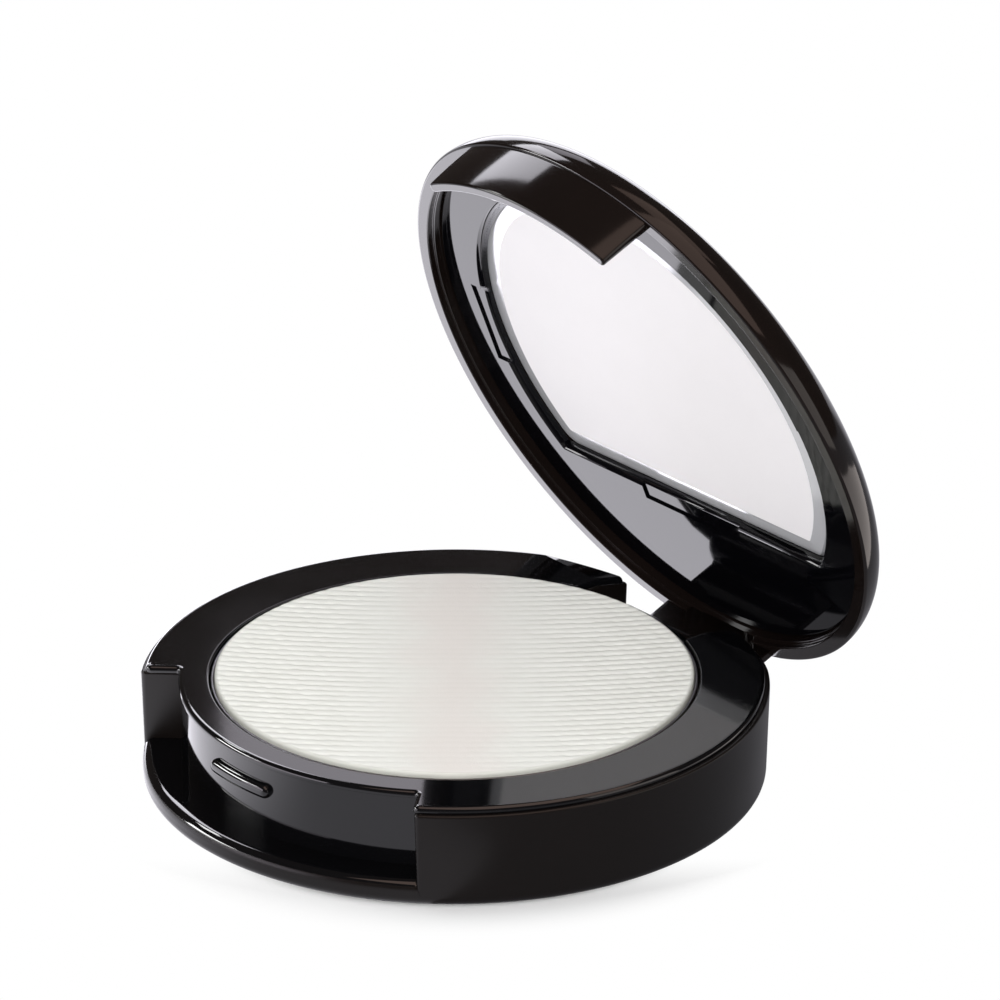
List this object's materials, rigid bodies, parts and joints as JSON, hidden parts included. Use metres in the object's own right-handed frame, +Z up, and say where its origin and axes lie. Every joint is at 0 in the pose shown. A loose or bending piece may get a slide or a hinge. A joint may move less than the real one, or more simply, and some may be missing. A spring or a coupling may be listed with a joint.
{
  "type": "pressed powder compact",
  "caption": "Round pocket compact: a hinged domed lid with a D-shaped mirror over a pan of ribbed pressed powder, with a finger notch and catch at the front.",
  "frame": {"origin": "middle of the flat underside that the base stands on", "axes": "+Z up through the base, -Y towards the finger notch at the front, +Y towards the hinge, +X to the right seen from the front"},
  "size_m": [0.077, 0.0848, 0.0764],
  "materials": {
    "case_black": "satin outside, gloss in the notch",
    "tray_black": "high gloss",
    "pan_aluminium": "bright",
    "powder": "matte pressed powder with fine ribs",
    "adhesive": "soft",
    "pin_steel": "drawn wire",
    "lid_black": "satin outside, gloss inside",
    "frame_black": "high gloss",
    "mirror_glass": "silvered glass with a bevelled edge"
  },
  "bodies": {
    "base": {"base_shell": "case_black", "deck_tray": "tray_black", "powder_pan": "pan_aluminium", "powder_cake": "powder", "pan_adhesive": "adhesive", "hinge_pin_left": "pin_steel", "hinge_pin_right": "pin_steel"},
    "lid": {"lid_shell": "lid_black", "mirror_frame": "frame_black", "mirror": "mirror_glass", "mirror_tape": "adhesive"}
  },
  "joints": [
    {"name": "lid_hinge", "type": "hinge", "parent": "base", "child": "lid", "pos_m": [0, 0.0347, 0.00505], "axis": [-1, 0, 0], "range_deg": [-68, 22]}
  ]
}
